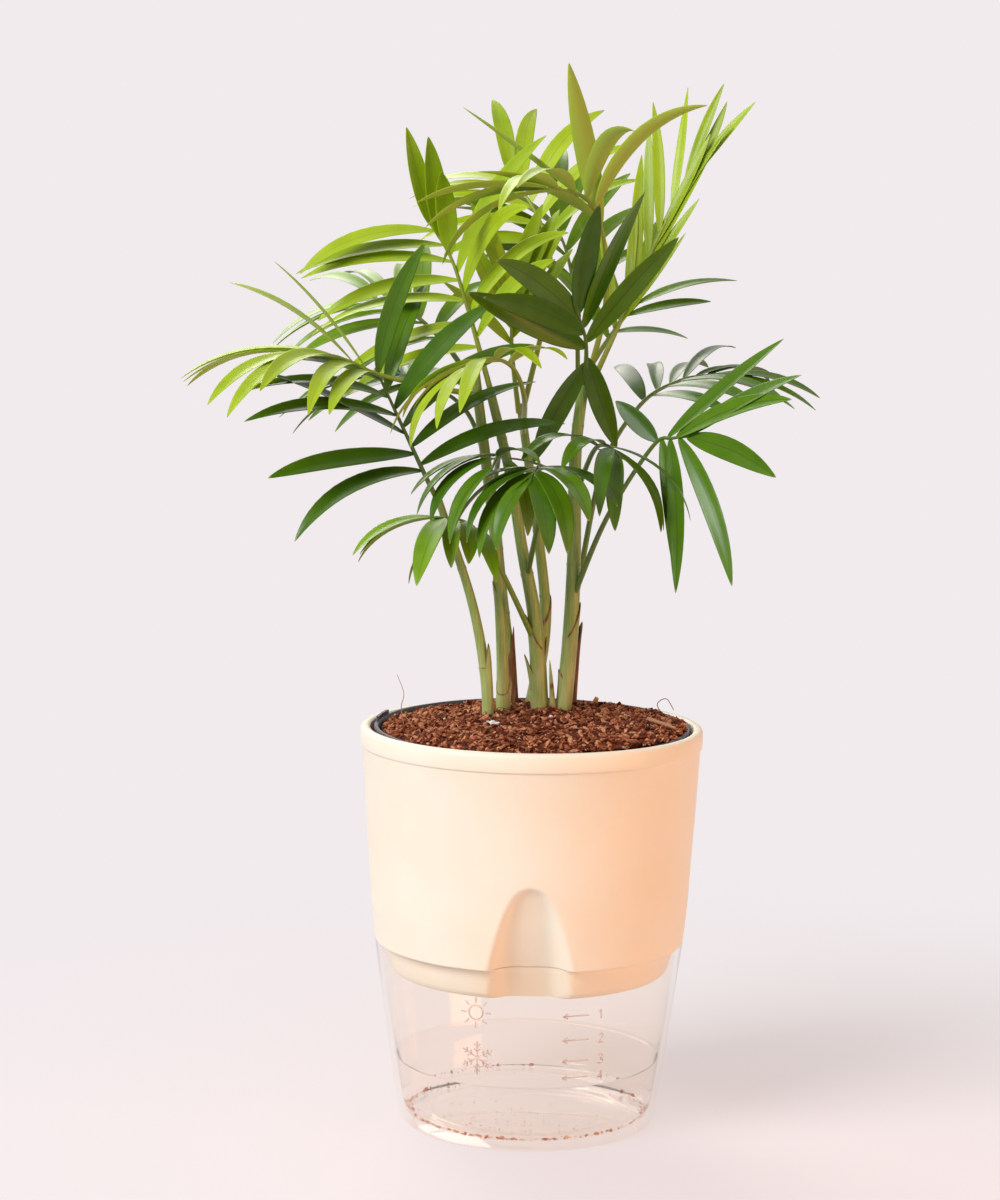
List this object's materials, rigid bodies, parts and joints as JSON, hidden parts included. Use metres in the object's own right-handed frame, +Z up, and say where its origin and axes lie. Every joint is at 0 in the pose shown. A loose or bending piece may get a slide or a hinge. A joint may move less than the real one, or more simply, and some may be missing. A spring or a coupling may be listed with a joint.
{
  "type": "potted palm",
  "caption": "Young feathery parlour palm of several slim stems with arching pinnate fronds, in a cream self-watering planter with a clear water reservoir below.",
  "frame": {"origin": "centre of the reservoir's flat underside", "axes": "+Z up along the pot's axis, -Y towards the front with the filling scoop, +X to the right seen from the front"},
  "size_m": [0.203, 0.1477, 0.3396],
  "materials": {
    "clear_plastic": "clear moulded polystyrene, glossy",
    "water": "still water",
    "cream_plastic": "cream moulded polypropylene, satin",
    "liner_plastic": "thin dark grey polypropylene",
    "coir_mix": "loose reddish-brown coir crumbs",
    "stem": "smooth pale green stem with brown sheath scars",
    "leaf_young": "young lime-green leaf, soft gloss",
    "leaf_grown": "grown mid-green leaf, soft gloss",
    "leaf_old": "older dark green leaf, glossy"
  },
  "bodies": {
    "root": {"reservoir": "clear_plastic", "water": "water", "planter_shell": "cream_plastic", "nursery_liner": "liner_plastic", "potting_mix": "coir_mix", "stem_left": "stem", "stem_mid_left": "stem", "stem_mid_left_back": "stem", "stem_centre_back": "stem", "stem_centre": "stem", "stem_right": "stem", "stem_right_back": "stem", "frond_spear": "leaf_young", "frond_crown": "leaf_young", "frond_top_back": "leaf_young", "frond_top_left": "leaf_young", "frond_far_left": "leaf_young", "frond_low_left": "leaf_old", "frond_low_front_left": "leaf_grown", "frond_front": "leaf_old", "frond_upper_right": "leaf_old", "frond_right": "leaf_old", "frond_right_back": "leaf_old", "frond_mid_left": "leaf_young", "frond_mid_upright": "leaf_young", "frond_back_left": "leaf_old", "frond_back_right": "leaf_grown", "frond_front_right": "leaf_old", "frond_mid_right": "leaf_grown", "frond_mid_back": "leaf_grown", "frond_centre_low": "leaf_old"}
  },
  "joints": []
}
